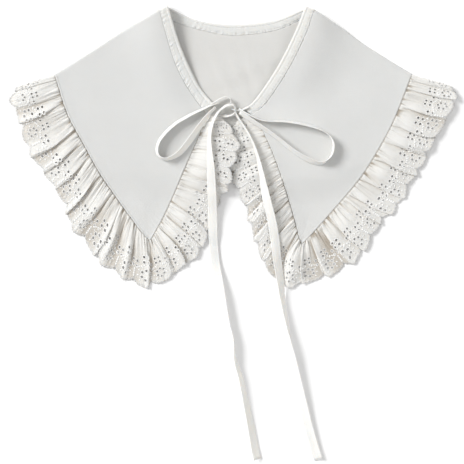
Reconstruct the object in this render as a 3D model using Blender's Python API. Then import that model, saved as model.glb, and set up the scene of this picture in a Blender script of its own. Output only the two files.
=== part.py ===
# Detachable lace-edged collar, laid flat on a table with its ties in a bow.
#
# Two pointed fronts are folded over on a hidden back along the shoulder folds.
# A gathered eyelet ruffle is sewn round the outer edge of all three.  The neck
# edge is bound, and the binding runs on into tape ties tied in a bow.
#
# Frame: the table is z = 0, +Z points up, and +X is to the right as the collar
# lies with its neck at +Y.  Tables below are in millimetres in that frame.

import math

import bmesh
import bpy
from mathutils import Vector
from mathutils.bvhtree import BVHTree

MM = 0.001

# Walls of cloth and the play between pieces
PANEL_WALL = 1.0 * MM
RUFFLE_WALL = 1.0 * MM
BINDING_WALL = 1.2 * MM
TIE_WALL = 1.0 * MM
TAPE_REACH = 5.0 * MM
SEAM_GAP = 0.35 * MM
RUFFLE_GAP = 0.5 * MM
FOLD_GAP = 0.8 * MM
LAYER_GAP = 0.3 * MM

# The back lies on the table, and the fronts lie on it and on its ruffle
BACK_CENTRE = Vector((-1.0 * MM, -7.0 * MM))
HEM_RADII = Vector((196.0 * MM, 62.5 * MM))
BACK_EDGE_RADII = Vector((240.0 * MM, 112.5 * MM))
BACK_FOLD_HEIGHT = 2.0 * MM
BACK_FOLDS = 20
BACK_RUFFLE_TOP = RUFFLE_WALL + BACK_FOLD_HEIGHT
OVER_PANEL = PANEL_WALL + LAYER_GAP
OVER_RUFFLE = BACK_RUFFLE_TOP + 2.0 * LAYER_GAP

# The gathered strip: its flat length taken up by each fold, and how folds grow
FLAT_PER_FOLD = 27.5 * MM
FOLD_HEIGHT_LIMIT = 8.0 * MM
SCALLOP_DIP = 0.085
SAMPLES_PER_FOLD = 8
RUFFLE_STEPS = (0.0, 0.16, 0.4, 0.7, 1.0)

# Neck edges and the line where each binding meets its panel, from the neck
# corner to the centre front
NECK_LEFT = ((-75.5, 66.5), (-60.0, 27.5), (-41.0, -14.5), (-23.5, -37.0))
BINDING_LINE_LEFT = ((-84.5, 62.5), (-67.0, 13.0), (-52.5, -17.5), (-29.5, -50.5))
NECK_RIGHT = ((77.0, 67.0), (65.5, 39.0), (47.5, 3.5), (23.0, -32.5), (10.0, -42.5))
BINDING_LINE_RIGHT = ((86.5, 63.5), (76.5, 36.0), (58.0, -1.0), (34.0, -36.5), (18.5, -49.5))
NECK_BACK = ((-75.5, 66.5), (-40.0, 54.0), (-0.5, 49.5), (43.0, 54.0), (77.0, 67.0))
BINDING_LINE_BACK = (
    (-84.5, 62.5), (-67.5, 53.5), (-33.5, 43.0), (-0.5, 38.0),
    (43.0, 43.0), (71.0, 54.5), (86.5, 63.5),
)

# Shoulder folds, from the binding out to the ruffle
SHOULDER_LEFT = ((-84.5, 62.5), (-128.0, 37.5), (-154.0, 20.5), (-197.0, -7.0))
SHOULDER_RIGHT = ((86.5, 63.5), (111.0, 47.5), (148.5, 22.0), (194.0, -7.0))

# Seams of the fronts, from the shoulder fold round the point to the centre
SEAM_LEFT = (
    (-197.0, -7.0), (-183.5, -48.5), (-165.5, -82.5), (-147.0, -115.5),
    (-113.5, -163.5), (-99.0, -182.5), (-93.5, -186.5), (-89.0, -182.0),
    (-73.0, -151.0), (-48.5, -94.0), (-29.5, -50.5),
)
TIP_LEFT = 6
SEAM_RIGHT = (
    (194.0, -7.0), (176.0, -53.0), (159.5, -85.0), (137.0, -120.5),
    (103.0, -160.5), (80.0, -186.0), (74.5, -190.5), (71.0, -185.5),
    (62.5, -153.5), (45.0, -99.0), (28.0, -61.5), (18.5, -49.5),
)
TIP_RIGHT = 6

# One row for each fold of a front ruffle: how far along its seam it starts
# (0 to 1), where its crest meets the free edge, how far the crest leans on,
# how full it stands (1 is free, less is pressed) and how far it is lifted by
# what lies under it
FOLDS_LEFT = (
    # start   edge x   edge y  lean  loft  lift
    (0.000, -240.0, -20.5, 0.0, 0.45, 0.0),
    (0.035, -246.0, -33.0, 5.0, 0.70, 0.0),
    (0.085, -237.0, -56.0, 8.5, 0.80, 0.0),
    (0.135, -231.5, -79.0, 8.0, 0.80, 0.0),
    (0.195, -217.0, -105.5, 5.0, 1.00, 0.0),
    (0.250, -200.5, -127.5, 8.0, 1.00, 0.0),
    (0.305, -187.5, -149.5, 9.0, 1.00, 0.0),
    (0.360, -180.0, -171.5, 6.0, 1.00, 0.0),
    (0.410, -164.5, -190.5, 8.0, 1.00, 0.0),
    (0.460, -148.0, -212.0, 9.5, 1.00, 0.0),
    (0.505, -125.0, -227.5, 4.0, 1.00, 0.0),
    (0.550, -102.0, -238.5, 7.0, 1.00, 0.0),
    (0.585, -78.5, -233.5, 8.5, 1.00, 0.0),
    (0.620, -61.0, -221.0, 9.5, 1.00, 0.0),
    (0.660, -41.0, -205.5, 5.0, 1.00, 0.0),
    (0.700, -30.0, -187.0, 8.0, 1.00, 0.0),
    (0.745, -21.5, -159.5, 6.0, 0.90, 0.0),
    (0.790, -11.5, -139.5, 5.0, 0.70, 2.6),
    (0.830, -3.0, -127.5, 3.0, 0.50, 4.8),
    (0.870, -0.5, -106.5, 6.0, 0.45, 5.0),
    (0.910, 6.5, -86.0, 6.0, 0.45, 5.0),
    (0.955, -2.5, -64.0, 5.0, 0.40, 5.0),
    (1.000, -14.0, -52.5, 0.0, 0.35, 4.0),
)
FOLDS_RIGHT = (
    # start   edge x   edge y  lean  loft  lift
    (0.000, 239.0, -19.5, 0.0, 0.45, 0.0),
    (0.030, 245.0, -28.5, 4.0, 0.70, 0.0),
    (0.075, 239.5, -45.5, 6.0, 0.80, 0.0),
    (0.130, 227.0, -67.0, 8.5, 0.80, 0.0),
    (0.180, 216.5, -85.5, 7.0, 0.90, 0.0),
    (0.240, 206.5, -108.0, 8.0, 1.00, 0.0),
    (0.295, 194.0, -125.5, 6.0, 1.00, 0.0),
    (0.355, 182.0, -149.5, 9.0, 1.00, 0.0),
    (0.410, 163.5, -167.0, 7.0, 1.00, 0.0),
    (0.455, 151.0, -187.0, 8.0, 1.00, 0.0),
    (0.500, 136.0, -207.0, 9.5, 1.00, 0.0),
    (0.545, 111.5, -223.5, 5.0, 1.00, 0.0),
    (0.580, 85.0, -233.0, 7.0, 1.00, 0.0),
    (0.610, 58.0, -237.5, 8.0, 1.00, 0.0),
    (0.650, 36.0, -221.0, 9.0, 1.00, 0.0),
    (0.700, 25.0, -198.0, 6.0, 1.00, 0.0),
    (0.745, 18.0, -174.0, 8.0, 1.00, 0.0),
    (0.790, 11.5, -153.0, 6.0, 0.80, 0.0),
    (0.835, 1.5, -133.0, 5.0, 0.45, 0.0),
    (0.880, -6.0, -110.0, 3.0, 0.35, 0.0),
    (0.920, -10.0, -88.0, 3.0, 0.30, 0.0),
    (0.960, -7.0, -69.0, 3.0, 0.30, 0.0),
    (1.000, 3.0, -56.0, 0.0, 0.25, 0.0),
)

# The bow is drawn up at the centre front.  Each loop and tail has a row for
# each station: place of its middle line and its turn about that line (0 lies
# flat, 90 stands on its edge)
KNOT_CENTRE = Vector((-9.0 * MM, -40.5 * MM, 5.22 * MM))
KNOT_RADII = Vector((9.5 * MM, 7.5 * MM, 4.4 * MM))
LOOP_LEFT = (
    # x      y     turn  width
    (-20.5, -40.5, 35.0, 5.5), (-31.0, -44.5, 60.0, 7.5), (-48.0, -54.0, 68.0, 9.0),
    (-66.0, -62.5, 70.0, 9.8), (-80.5, -73.5, 74.0, 9.8), (-86.0, -86.5, 84.0, 9.8),
    (-83.5, -96.5, 92.0, 9.8), (-74.0, -98.0, 98.0, 9.8), (-63.0, -91.0, 104.0, 9.8),
    (-51.5, -76.0, 108.0, 9.0), (-41.0, -60.0, 112.0, 8.0), (-31.0, -51.0, 120.0, 6.5),
    (-21.0, -45.8, 135.0, 5.0),
)
LOOP_RIGHT = (
    # x      y     turn  width
    (3.5, -40.5, 30.0, 5.5), (13.0, -47.5, 35.0, 7.5), (31.0, -54.0, 50.0, 9.0),
    (58.0, -55.5, 55.0, 9.8), (84.0, -61.0, 62.0, 9.8), (103.0, -69.5, 74.0, 9.8),
    (110.5, -81.0, 84.0, 9.8), (108.0, -95.0, 94.0, 9.8), (98.5, -103.0, 104.0, 9.8),
    (86.0, -101.5, 110.0, 9.8), (66.0, -92.0, 118.0, 9.8), (44.0, -78.0, 122.0, 9.0),
    (27.0, -64.0, 128.0, 8.0), (14.0, -54.0, 138.0, 6.0), (4.5, -46.8, 145.0, 4.5),
)
TAIL_LEFT = (
    # x      y      turn  width
    (-17.5, -49.5, 30.0, 4.0), (-22.0, -55.0, 40.0, 4.5), (-25.5, -63.0, 45.0, 5.0),
    (-27.3, -74.0, 45.0, 5.5), (-27.0, -90.0, 35.0, 7.0), (-25.8, -110.0, 16.0, 9.0),
    (-24.6, -137.5, 10.0, 9.8), (-23.7, -165.0, 8.0, 9.8), (-23.3, -187.0, 6.0, 9.8),
    (-20.8, -212.5, 8.0, 9.8), (-16.8, -232.0, 30.0, 9.8), (-12.6, -249.5, 56.0, 9.8),
    (-7.0, -278.0, 68.0, 9.8), (-1.6, -297.0, 80.0, 9.8), (1.5, -320.0, 108.0, 9.8),
    (7.0, -338.0, 119.0, 9.8), (12.5, -363.0, 130.0, 9.8), (17.6, -388.0, 140.0, 9.8),
    (22.5, -415.0, 147.0, 9.8), (25.5, -428.0, 150.0, 9.8),
)
TAIL_RIGHT = (
    # x      y      turn  width
    (0.0, -50.5, 150.0, 4.0), (6.3, -58.0, 140.0, 4.5), (15.0, -69.5, 135.0, 5.0),
    (21.0, -83.0, 132.0, 5.5), (25.5, -97.0, 132.0, 6.5), (30.0, -114.0, 138.0, 8.0),
    (34.0, -137.0, 150.0, 9.8), (41.0, -166.0, 160.0, 9.8), (44.5, -187.0, 170.0, 9.8),
    (46.5, -206.0, 164.0, 9.8), (49.5, -227.0, 146.0, 9.8), (53.0, -253.0, 124.0, 9.8),
    (57.0, -275.0, 112.0, 9.8), (60.5, -293.0, 96.0, 9.8), (64.3, -314.0, 64.0, 9.8),
    (68.5, -335.0, 48.0, 9.8), (74.5, -362.0, 36.0, 9.8), (80.0, -386.0, 26.0, 9.8),
    (87.0, -412.0, 20.0, 9.8), (92.0, -428.0, 20.0, 9.8),
)

COTTON = (0.80, 0.80, 0.78, 1.0)
COTTON_RUFFLE = (0.82, 0.81, 0.78, 1.0)
COTTON_TAPE = (0.84, 0.84, 0.82, 1.0)


def clear_scene():
    for item in list(bpy.data.objects):
        bpy.data.objects.remove(item, do_unlink=True)


def smooth_step(low, high, value):
    share = min(1.0, max(0.0, (value - low) / (high - low)))
    return share * share * (3.0 - 2.0 * share)


def catmull_rom(points, place):
    """Point at a place counted in points along a smooth curve through them."""
    last = len(points) - 1
    place = min(max(place, 0.0), float(last))
    index = min(int(place), last - 1)
    share = place - index
    here, there = points[index], points[index + 1]
    before = points[index - 1] if index > 0 else here * 2.0 - there
    after = points[index + 2] if index + 2 <= last else there * 2.0 - here
    return 0.5 * (
        2.0 * here
        + (there - before) * share
        + (2.0 * before - 5.0 * here + 4.0 * there - after) * share ** 2
        + (3.0 * here - before - 3.0 * there + after) * share ** 3
    )


class Path:
    """A smooth plan curve through a short list of points, read by length."""

    STEPS = 24

    def __init__(self, table):
        self.points = [Vector(row) * MM for row in table]
        count = (len(self.points) - 1) * self.STEPS
        self.line = [catmull_rom(self.points, i / self.STEPS) for i in range(count + 1)]
        self.lengths = [0.0]
        for a, b in zip(self.line, self.line[1:]):
            self.lengths.append(self.lengths[-1] + (b - a).length)
        self.length = self.lengths[-1]

    def at(self, share):
        target = min(max(share, 0.0), 1.0) * self.length
        low, high = 0, len(self.lengths) - 1
        while high - low > 1:
            middle = (low + high) // 2
            if self.lengths[middle] <= target:
                low = middle
            else:
                high = middle
        span = self.lengths[high] - self.lengths[low]
        return self.line[low].lerp(self.line[high], (target - self.lengths[low]) / span)

    def share_of_point(self, index):
        return self.lengths[index * self.STEPS] / self.length

    def direction(self, share):
        step = 0.004
        return (self.at(share + step) - self.at(share - step)).normalized()

    def normal(self, share):
        """Plan direction to the right of the way the curve runs."""
        along = self.direction(share)
        return Vector((along.y, -along.x))


def ground(x, y):
    """Height of what the fronts lie on: the back, its ruffle or the table."""
    across = x - BACK_CENTRE.x
    below = min(0.0, y - BACK_CENTRE.y)
    to_hem = math.hypot(across / HEM_RADII.x, below / HEM_RADII.y)
    to_edge = math.hypot(across / BACK_EDGE_RADII.x, below / BACK_EDGE_RADII.y)
    height = OVER_PANEL
    height += (OVER_RUFFLE - OVER_PANEL) * smooth_step(0.86, 0.98, to_hem)
    return height * (1.0 - smooth_step(1.04, 1.24, to_edge))


def cloth_material(name, colour, roughness):
    material = bpy.data.materials.new(name)
    material.use_nodes = True
    shader = material.node_tree.nodes["Principled BSDF"]
    shader.inputs["Base Color"].default_value = colour
    shader.inputs["Roughness"].default_value = roughness
    shader.inputs["Metallic"].default_value = 0.0
    return material


def wall_from_grid(name, rows, wall, material):
    """A closed wall of cloth round a grid of middle-surface points."""
    mesh = bpy.data.meshes.new(name)
    bm = bmesh.new()
    grid = [[bm.verts.new(point) for point in row] for row in rows]
    for upper, lower in zip(grid, grid[1:]):
        for i in range(len(upper) - 1):
            bm.faces.new((upper[i], lower[i], lower[i + 1], upper[i + 1]))
    bmesh.ops.recalc_face_normals(bm, faces=bm.faces[:])
    bm.to_mesh(mesh)
    bm.free()
    mesh.materials.append(material)
    item = bpy.data.objects.new(name, mesh)
    bpy.context.scene.collection.objects.link(item)
    solid = item.modifiers.new("Wall", "SOLIDIFY")
    solid.thickness = wall
    solid.offset = 0.0
    solid.use_even_offset = False
    return item


def patch(top, bottom, start, end, across, down):
    """Plan points of a four-sided piece of cloth, blended from its sides."""
    corners = (top(0.0), top(1.0), bottom(0.0), bottom(1.0))
    rows = []
    for j in range(down + 1):
        v = j / down
        row = []
        for i in range(across + 1):
            u = i / across
            point = top(u) * (1.0 - v) + bottom(u) * v
            point += start(v) * (1.0 - u) + end(v) * u
            point -= corners[0] * (1.0 - u) * (1.0 - v) + corners[1] * u * (1.0 - v)
            point -= corners[2] * (1.0 - u) * v + corners[3] * u * v
            row.append(point)
        rows.append(row)
    return rows


def fold_under(line, outward, upper, lower, turns=(0.0, 35.0, 90.0, 145.0)):
    """Rows that bring a cloth's edge up from the level below to its own."""
    rows = []
    for turn in turns:
        angle = math.radians(turn)
        row = []
        for point, away, high, low in zip(line, outward, upper, lower):
            radius = (high - low) / 2.0
            place = point + away * radius * math.sin(angle)
            row.append(Vector((place.x, place.y, high - radius * (1.0 + math.cos(angle)))))
        rows.append(row)
    return rows


def front_panel(name, shoulder, seam, tip, binding_line, side, material):
    """A front: shoulder fold, outer seam, point, inner seam and bound neck."""
    across, down = 16, 14
    tip_share = seam.share_of_point(tip)
    plan = patch(
        shoulder.at,
        lambda u: seam.at(1.0 - u * (1.0 - tip_share)),
        binding_line.at,
        lambda v: seam.at(v * tip_share),
        across,
        down,
    )
    level = [
        [Vector((p.x, p.y, ground(p.x, p.y) + PANEL_WALL / 2.0)) for p in row] for row in plan
    ]
    away = [shoulder.normal(i / across) * side for i in range(across + 1)]
    high = [point.z for point in level[0]]
    low = [PANEL_WALL / 2.0] * (across + 1)
    roll = fold_under(plan[0], away, high, low)
    return wall_from_grid(name, roll + level, PANEL_WALL, material)


def back_panel(name, material):
    """The back, which lies on the table from the bound neck to its hem."""
    across, down = 20, 8
    line = Path(BINDING_LINE_BACK)
    left, right = Path(SHOULDER_LEFT), Path(SHOULDER_RIGHT)

    def hem(u):
        angle = math.pi * (1.0 - u)
        return BACK_CENTRE + Vector(
            (HEM_RADII.x * math.cos(angle), -HEM_RADII.y * math.sin(angle))
        )

    rows = []
    for j, plan_row in enumerate(patch(line.at, hem, left.at, right.at, across, down)):
        row = []
        for i, point in enumerate(plan_row):
            if i == 0:
                point = point - left.normal(j / down) * SEAM_GAP
            if i == across:
                point = point + right.normal(j / down) * SEAM_GAP
            if j == 0:
                point = point + line.normal(i / across) * SEAM_GAP
            row.append(Vector((point.x, point.y, PANEL_WALL / 2.0)))
        rows.append(row)
    return wall_from_grid(name, rows, PANEL_WALL, material)


def binding(name, neck, line, side, level, material, shoulder_end):
    """The bound neck edge: a folded strip beside the panel it is sewn to."""
    along, across = 16, 2
    play = 0.0 if shoulder_end else FOLD_GAP / line.length
    rows = []
    for j in range(along + 1):
        share = play + (1.0 - 2.0 * play) * j / along
        outer = line.at(share) + line.normal(share) * side * SEAM_GAP
        inner = neck.at(share)
        row = []
        for i in range(across + 1):
            point = outer.lerp(inner, i / across)
            row.append(Vector((point.x, point.y, level(point.x, point.y))))
        rows.append(row)
    if shoulder_end:
        first = [Vector((p.x, p.y)) for p in rows[0]]
        away = [-neck.direction(0.0)] * (across + 1)
        high = [p.z for p in rows[0]]
        low = [BINDING_WALL / 2.0] * (across + 1)
        rows = fold_under(first, away, high, low) + rows
    return wall_from_grid(name, rows, BINDING_WALL, material)


def fold_columns(table):
    """The columns of a fold table, each as vectors to draw a curve through."""
    starts = [Vector((row[0], 0.0)) for row in table]
    edges = [Vector((row[1], row[2])) * MM for row in table]
    leans = [Vector((row[3] * MM, 0.0)) for row in table]
    lofts = [Vector((row[4], row[5] * MM)) for row in table]
    return starts, edges, leans, lofts


def ruffle_point(seam, side, columns, place, depth):
    """Middle of the ruffle's cloth: place counts folds, depth runs to the edge."""
    starts, edges, leans, lofts = columns
    last = len(edges) - 1
    share = catmull_rom(starts, place).x
    root = seam.at(share) + seam.normal(share) * side * RUFFLE_GAP
    edge = catmull_rom(edges, place)
    step = 0.2
    before, after = max(place - step, 0.0), min(place + step, float(last))
    run = catmull_rom(edges, after) - catmull_rom(edges, before)
    root_run = seam.at(catmull_rom(starts, after).x) - seam.at(catmull_rom(starts, before).x)
    pitch = (run.length * depth + root_run.length * (1.0 - depth)) / (after - before)
    crest = (1.0 + math.cos(2.0 * math.pi * place)) / 2.0
    slack = max(FLAT_PER_FOLD / pitch - 1.0, 0.05)
    loft, lift = catmull_rom(lofts, place)
    height = min(2.0 * pitch / math.pi * math.sqrt(slack), FOLD_HEIGHT_LIMIT)
    height *= loft * (0.15 + 0.85 * smooth_step(0.0, 0.55, depth))
    reach = depth * (1.0 - SCALLOP_DIP * (1.0 - crest))
    lean = catmull_rom(leans, place).x * smooth_step(0.1, 0.8, depth)
    point = root.lerp(edge, reach) + run.normalized() * lean * crest
    z = ground(point.x, point.y) + RUFFLE_WALL / 2.0
    z += max(lift, 0.0) * smooth_step(0.05, 0.45, depth) + height * crest
    return Vector((point.x, point.y, z))


def front_ruffle(name, seam, side, table, material):
    """The gathered ruffle of one front, rolled under at the shoulder fold."""
    columns = fold_columns(table)
    folds = len(table) - 1
    count = folds * SAMPLES_PER_FOLD
    rows = [
        [
            ruffle_point(seam, side, columns, i / SAMPLES_PER_FOLD, depth)
            for depth in RUFFLE_STEPS
        ]
        for i in range(count + 1)
    ]
    first = [Vector((p.x, p.y)) for p in rows[0]]
    ray = (first[-1] - first[0]).normalized()
    square = Vector((ray.y, -ray.x)) * side
    away = [(square + ray * 0.8 * (1.0 - depth)).normalized() for depth in RUFFLE_STEPS]
    high = [p.z for p in rows[0]]
    low = [RUFFLE_WALL / 2.0] * len(first)
    roll = fold_under(first, away, high, low)
    return wall_from_grid(name, roll + rows, RUFFLE_WALL, material)


def back_ruffle(name, material):
    """The back's ruffle, pressed flat under the fronts."""
    samples = BACK_FOLDS * 6
    rows = []
    for i in range(samples + 1):
        share = i / samples
        root_angle = math.radians(178.2 - 176.4 * share)
        edge_angle = math.radians(172.0 - 164.0 * share)
        root = BACK_CENTRE + Vector(
            (
                (HEM_RADII.x + SEAM_GAP) * math.cos(root_angle),
                -(HEM_RADII.y + SEAM_GAP) * math.sin(root_angle),
            )
        )
        edge = BACK_CENTRE + Vector(
            (
                BACK_EDGE_RADII.x * math.cos(edge_angle),
                -BACK_EDGE_RADII.y * math.sin(edge_angle),
            )
        )
        crest = (1.0 - math.cos(2.0 * math.pi * share * BACK_FOLDS)) / 2.0
        row = []
        for depth in (0.0, 0.2, 0.6, 1.0):
            reach = depth * (1.0 - SCALLOP_DIP * (1.0 - crest))
            point = root.lerp(edge, reach)
            height = BACK_FOLD_HEIGHT * crest * smooth_step(-0.1, 0.5, depth)
            row.append(Vector((point.x, point.y, RUFFLE_WALL / 2.0 + height)))
        rows.append(row)
    return wall_from_grid(name, rows, RUFFLE_WALL, material)


def tree_of(item):
    return BVHTree.FromObject(item, bpy.context.evaluated_depsgraph_get())


def top_under(trees, x, y, radius):
    """Highest point of the pieces below a small disc, or the table."""
    highest = 0.0
    spots = [(0.0, 0.0)]
    for ring in (0.5, 1.0):
        for k in range(8):
            angle = math.pi * k / 4.0
            spots.append((ring * radius * math.cos(angle), ring * radius * math.sin(angle)))
    for dx, dy in spots:
        for tree in trees:
            hit = tree.ray_cast(Vector((x + dx, y + dy, 0.1)), Vector((0.0, 0.0, -1.0)))[0]
            if hit:
                highest = max(highest, hit.z)
    return highest


def tape(name, table, trees, stations, material):
    """A tape that follows a table of stations and rests on what lies below."""
    columns = [
        [Vector((row[0] * MM, row[1] * MM)) for row in table],
        [Vector((math.radians(row[2]), row[3] * MM)) for row in table],
    ]
    last = len(table) - 1
    line, turned = [
        [catmull_rom(column, last * i / stations) for i in range(stations + 1)]
        for column in columns
    ]
    floor = []
    for spot, (turn, width) in zip(line, turned):
        reach = max(width / 2.0 * abs(math.cos(turn)) + 2.0 * MM, TAPE_REACH)
        floor.append(top_under(trees, spot.x, spot.y, reach))
    high = [max(floor[max(0, i - 1):i + 2]) for i in range(len(floor))]
    span = [high[max(0, i - 1):i + 2] for i in range(len(high))]
    level = [sum(part) / len(part) for part in span]
    grid = []
    for i, (spot, (turn, width)) in enumerate(zip(line, turned)):
        along = (line[min(i + 1, stations)] - line[max(i - 1, 0)]).normalized()
        sideways = Vector((-along.y, along.x, 0.0))
        rise = abs(math.sin(turn)) * width / 2.0 + abs(math.cos(turn)) * TIE_WALL / 2.0
        gap = LAYER_GAP if level[i] > LAYER_GAP else 0.0
        middle = Vector((spot.x, spot.y, level[i] + gap + rise))
        reach = (sideways * math.cos(turn) + Vector((0.0, 0.0, math.sin(turn)))) * width / 2.0
        grid.append([middle - reach, middle, middle + reach])
    return wall_from_grid(name, grid, TIE_WALL, material)


def knot(name, material):
    """The bow's knot: a soft round of tape drawn tight."""
    mesh = bpy.data.meshes.new(name)
    bm = bmesh.new()
    bmesh.ops.create_uvsphere(bm, u_segments=16, v_segments=10, radius=1.0)
    for vert in bm.verts:
        waist = 1.0 - 0.18 * math.exp(-(vert.co.x / 0.3) ** 2)
        vert.co = KNOT_CENTRE + Vector(
            (
                vert.co.x * KNOT_RADII.x,
                vert.co.y * KNOT_RADII.y * waist,
                vert.co.z * KNOT_RADII.z * waist,
            )
        )
    bm.to_mesh(mesh)
    bm.free()
    mesh.materials.append(material)
    item = bpy.data.objects.new(name, mesh)
    bpy.context.scene.collection.objects.link(item)
    return item


def front_binding_level(x, y):
    return ground(x, y) + LAYER_GAP * 2.0 / 3.0 + BINDING_WALL / 2.0


def back_binding_level(x, y):
    return BINDING_WALL / 2.0


def build():
    clear_scene()
    cotton = cloth_material("cotton_lawn", COTTON, 0.85)
    eyelet = cloth_material("eyelet_cotton", COTTON_RUFFLE, 0.85)
    bias = cloth_material("bias_tape", COTTON_TAPE, 0.8)

    back_panel("back", cotton)
    back_ruffle("ruffle_back", eyelet)
    seam_left, seam_right = Path(SEAM_LEFT), Path(SEAM_RIGHT)
    line_left, line_right = Path(BINDING_LINE_LEFT), Path(BINDING_LINE_RIGHT)
    below = [
        front_panel(
            "front_left", Path(SHOULDER_LEFT), seam_left, TIP_LEFT, line_left, 1.0, cotton
        ),
        front_panel(
            "front_right", Path(SHOULDER_RIGHT), seam_right, TIP_RIGHT, line_right, -1.0, cotton
        ),
        front_ruffle("ruffle_left", seam_left, 1.0, FOLDS_LEFT, eyelet),
        front_ruffle("ruffle_right", seam_right, -1.0, FOLDS_RIGHT, eyelet),
        binding(
            "binding_left", Path(NECK_LEFT), line_left, -1.0, front_binding_level, bias, True
        ),
        binding(
            "binding_right", Path(NECK_RIGHT), line_right, 1.0, front_binding_level, bias, True
        ),
    ]
    binding(
        "binding_back", Path(NECK_BACK), Path(BINDING_LINE_BACK), -1.0, back_binding_level,
        bias, False,
    )
    knot("bow_knot", bias)
    trees = [tree_of(item) for item in below]
    tape("bow_loop_left", LOOP_LEFT, trees, 24, bias)
    tape("bow_loop_right", LOOP_RIGHT, trees, 28, bias)
    tape("tie_left", TAIL_LEFT, trees, 44, bias)
    tape("tie_right", TAIL_RIGHT, trees, 44, bias)


build()
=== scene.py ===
# Lace-edged collar laid flat with its ties in a bow: the cloth, embroidery,
# stitching and finish of every piece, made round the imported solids.
#
# Lengths are in metres, with tables in millimetres.  +Z is up from the table.

import math

import bmesh
import bpy
import numpy as np
from mathutils import Matrix, Vector
from mathutils.bvhtree import BVHTree


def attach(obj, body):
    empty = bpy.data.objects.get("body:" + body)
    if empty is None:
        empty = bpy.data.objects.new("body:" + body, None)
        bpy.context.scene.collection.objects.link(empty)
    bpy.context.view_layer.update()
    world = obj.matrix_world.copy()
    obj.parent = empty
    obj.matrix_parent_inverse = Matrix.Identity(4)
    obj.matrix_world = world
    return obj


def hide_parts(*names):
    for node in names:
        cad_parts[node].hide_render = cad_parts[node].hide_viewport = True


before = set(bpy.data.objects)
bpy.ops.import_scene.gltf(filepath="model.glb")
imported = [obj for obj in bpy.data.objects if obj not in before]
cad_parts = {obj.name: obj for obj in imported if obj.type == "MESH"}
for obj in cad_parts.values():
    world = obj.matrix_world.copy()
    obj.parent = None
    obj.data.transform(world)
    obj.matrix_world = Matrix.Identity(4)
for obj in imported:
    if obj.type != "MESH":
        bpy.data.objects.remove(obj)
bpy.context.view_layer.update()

MM = 0.001

# The photograph's view: straight down from a long way off
VIEW_CENTRE = (-2.75 * MM, -178.2 * MM)
VIEW_WIDTH = 0.5104
VIEW_HEIGHT = 2.0
SENSOR = 36.0
TABLE_SIZE = 6.0
TABLE_LEVEL = -0.2 * MM

# Cloth
LAWN = 0.35 * MM
DOUBLED_LAWN = 0.6 * MM
PANEL_WALL = 1.0 * MM
BINDING_WALL = 1.2 * MM
TAPE_WALL = 0.7 * MM
TAPE_WIDTH = 10.0 * MM
TAPE_STEP = 3.0 * MM
STITCH_PITCH = 2.9 * MM
STITCH_ROWS = (0.14, 0.70)
WEAVE_PITCH = 0.32 * MM
RIB_PITCH = 0.55 * MM
SEAM_TUCK = 1.2 * MM
SHOULDER_ROLL = 6.0 * MM
FOLD_REACH = 2.4 * MM
ROLL_ROWS = 4.0
NECK_SPRING = 12.0 * MM

# The fronts: how wide and long they are, and how their seams pucker
PANEL_ACROSS = 0.11
PANEL_ALONG = 0.15
OUTER_SEAM = 0.206
INNER_SEAM = 0.145
PANEL_SWELL = 0.8 * MM
PUCKER_PITCH = 6.0 * MM
PUCKER_RISE = 0.28 * MM
PUCKER_REACH = 3.5 * MM
SEAM_RISE = 0.85 * MM
SEAM_RISE_REACH = 9.0 * MM
WELT_LEFT = 0.55 * MM
WELT_RIGHT = 0.2 * MM
WELT_INNER = 0.25 * MM

# The back lies on the table, and the fronts lie on it and on its ruffle
BACK_CENTRE = np.array((-1.0, -7.0)) * MM
HEM_RADII = np.array((196.0, 62.5)) * MM
BACK_EDGE_RADII = np.array((240.0, 112.5)) * MM
BACK_FOLD_HEIGHT = 2.0 * MM
BACK_FOLDS = 20
BACK_RUFFLE_LEVEL = 0.8 * MM
OVER_PANEL = 1.3 * MM
OVER_RUFFLE = 3.6 * MM

# The eyelet edging, which has one scallop to a repeat and is gathered into folds
FLAT_PER_FOLD = 27.5 * MM
REPEAT = 22.0 * FLAT_PER_FOLD / 24.0
STRIP_DEPTH = 53.0 * MM
FOLD_HEIGHT_LIMIT = 6.8 * MM
FOLD_SWAY = 0.31
ROOT_SWAY = 0.26
RISE_SHARE = 0.72
FALL_SHARE = 0.28
LOBE_CORNER = 0.045
GATHERS_PER_FOLD = 2.6
CREASES_PER_FOLD = 1.4
GATHER_RISE = 2.5 * MM
CREASE_RISE = 1.1 * MM
GATHER_SHIFT = 0.9 * MM
EDGE_RISE = 0.45 * MM
OVER_GROUND = 0.35 * MM
EYELET_RADIUS = 1.25 * MM
FLOWER_HEIGHT = 41.0 * MM
FLOWER_RADIUS = 4.4 * MM
LEAF_REACH = 7.9 * MM
CLUSTER_HEIGHT = 26.5 * MM
HALF_CLUSTER_HEIGHT = 32.5 * MM
CLUSTER_SPREAD = 2.5 * MM
SCALLOP_RISE = 6.5 * MM
PICOT_RISE = 1.25 * MM
PICOTS = 7
EDGE_BAND = 2.6 * MM

# Colours, in pairs where a cloth varies between two
LAWN_TONES = ((0.745, 0.745, 0.73, 1.0), (0.70, 0.70, 0.685, 1.0))
# The back's lawn: the lawn's tones painted warmer and a little darker, as warm bounce-lit shade
INSIDE_PAINTED_SHADE_TONES = ((0.745, 0.738, 0.715, 1.0), (0.69, 0.68, 0.655, 1.0))
EYELET_TONES = ((0.895, 0.872, 0.825, 1.0), (0.84, 0.817, 0.77, 1.0))
BIAS_TONES = ((0.88, 0.87, 0.84, 1.0), (0.83, 0.82, 0.79, 1.0))
# The neck binding: the bias tape's tones painted darker, as shade
NECK_PAINTED_SHADE_TONES = ((0.825, 0.82, 0.79, 1.0), (0.785, 0.775, 0.745, 1.0))
# Painted shade: the warm brown laid into the ruffle's fold hollows and gather creases
PAINTED_FOLD_SHADE = (0.40, 0.345, 0.28, 1.0)
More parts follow.
